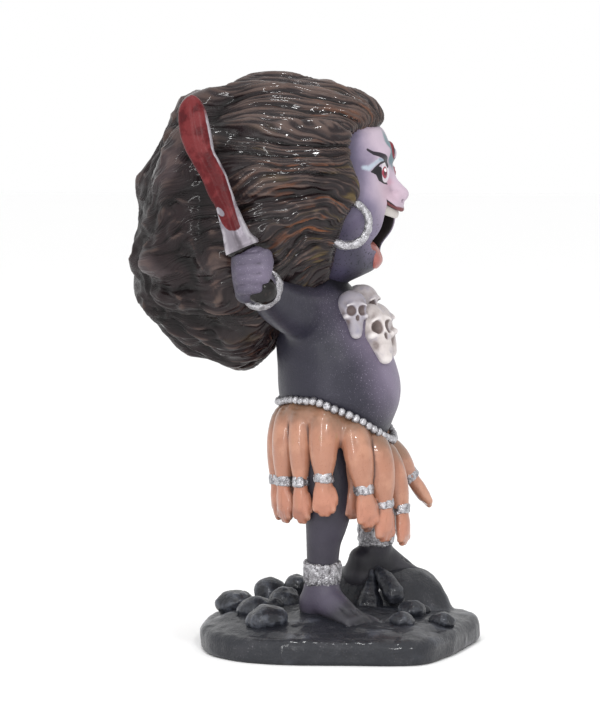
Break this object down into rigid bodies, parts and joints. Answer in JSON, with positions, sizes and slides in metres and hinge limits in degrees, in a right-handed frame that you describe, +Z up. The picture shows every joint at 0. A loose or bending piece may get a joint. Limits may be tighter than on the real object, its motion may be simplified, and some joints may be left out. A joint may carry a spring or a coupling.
{
  "type": "kali figure",
  "caption": "Squat statuette of the goddess Kali with swept-back hair, raised sword, string of skulls and skirt of severed arms, on a rocky plinth.",
  "frame": {"origin": "middle of the plinth's flat underside", "axes": "+Z up towards the crown of the hair, -Y the way the figure faces, -X the side of its right hand, which holds the sword"},
  "size_m": [0.0721, 0.0778, 0.1283],
  "materials": {
    "painted_resin": "satin slate blue-grey paint on cast resin",
    "face_paint": "satin pale lavender paint with painted eyes, lips and brows",
    "hair_paint": "glossy dark brown paint, dry-brushed with grey-brown and gold",
    "arm_paint": "glossy peach paint, darker in the grooves",
    "silver_paint": "silver paint on beads, bracelets, anklets, hoops and the sword's hilt",
    "bone_paint": "ivory-grey paint with brown in the hollows",
    "blade_paint": "satin dark red paint with a silver edge",
    "plinth_paint": "charcoal paint, rubbed to a slight shine on the rim"
  },
  "bodies": {
    "root": {"kali_figure": "painted_resin"}
  },
  "joints": []
}
